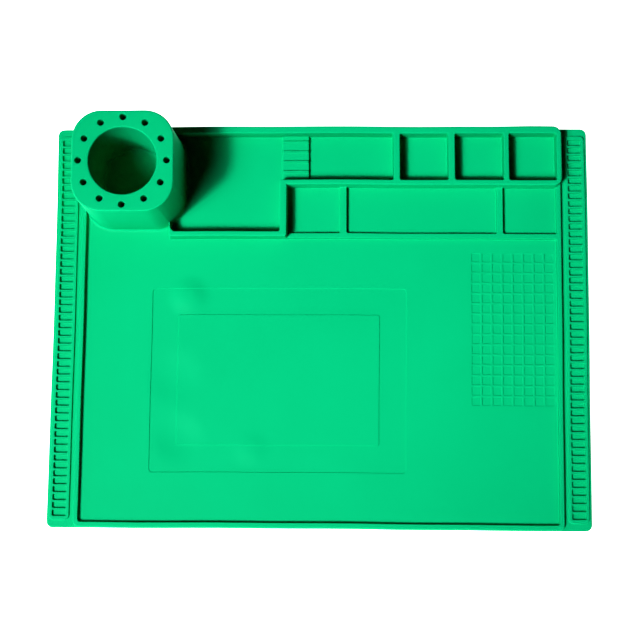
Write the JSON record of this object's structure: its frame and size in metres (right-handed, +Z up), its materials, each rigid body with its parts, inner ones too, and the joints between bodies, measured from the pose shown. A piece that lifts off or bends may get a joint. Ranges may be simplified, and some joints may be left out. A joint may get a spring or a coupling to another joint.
{
  "type": "silicone soldering mat",
  "caption": "Rectangular silicone work mat with a sunken work field, parts trays along the back, slotted side strips and a column that holds tools.",
  "frame": {"origin": "middle of the flat underside, on the table", "axes": "+X along the mat's length, +Y to the edge with the trays, +Z up"},
  "size_m": [0.4, 0.3, 0.066],
  "materials": {
    "silicone": "satin moulded silicone, with a fine matt skin"
  },
  "bodies": {
    "root": {"soldering_mat": "silicone"}
  },
  "joints": []
}
